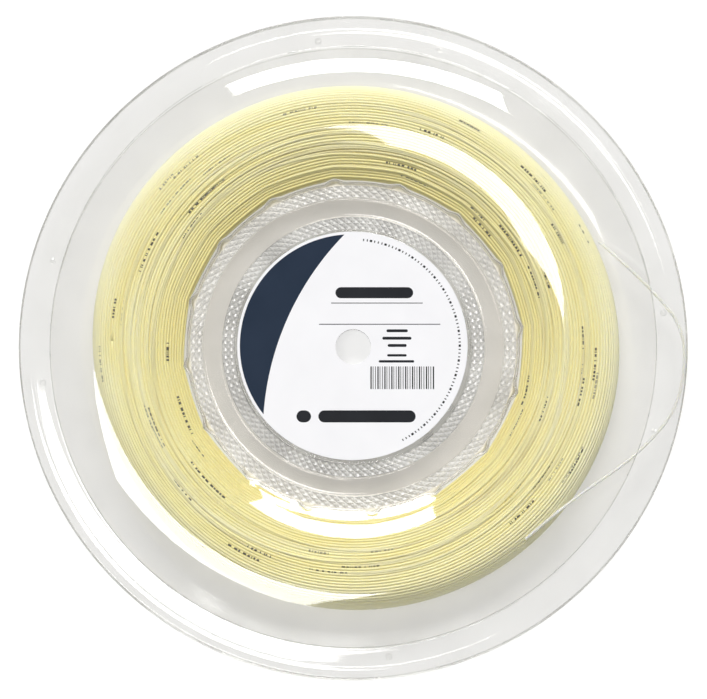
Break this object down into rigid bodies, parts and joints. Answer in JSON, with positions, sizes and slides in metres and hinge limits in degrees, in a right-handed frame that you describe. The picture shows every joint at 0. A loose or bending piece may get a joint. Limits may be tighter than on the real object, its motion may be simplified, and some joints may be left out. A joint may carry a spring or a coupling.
{
  "type": "racket string reel",
  "caption": "Reel of clear formed plastic holding wound racket string between two bulged flanges, with a spindle hole through its labelled hub.",
  "frame": {"origin": "below the middle of the reel, on the surface that it lies on", "axes": "+Z along the spindle axis towards the labelled front face, +Y towards the top of the label, +X to the label's right"},
  "size_m": [0.275, 0.275, 0.0204],
  "materials": {
    "clear_sheet": "clear gloss with knurled weld bands",
    "label_paper": "smooth printed paper",
    "string": "translucent straw-coloured nylon, satin gloss"
  },
  "bodies": {
    "root": {"front_shell": "clear_sheet", "rear_shell": "clear_sheet", "front_label": "label_paper", "string_coil": "string", "string_tail": "string"}
  },
  "joints": []
}
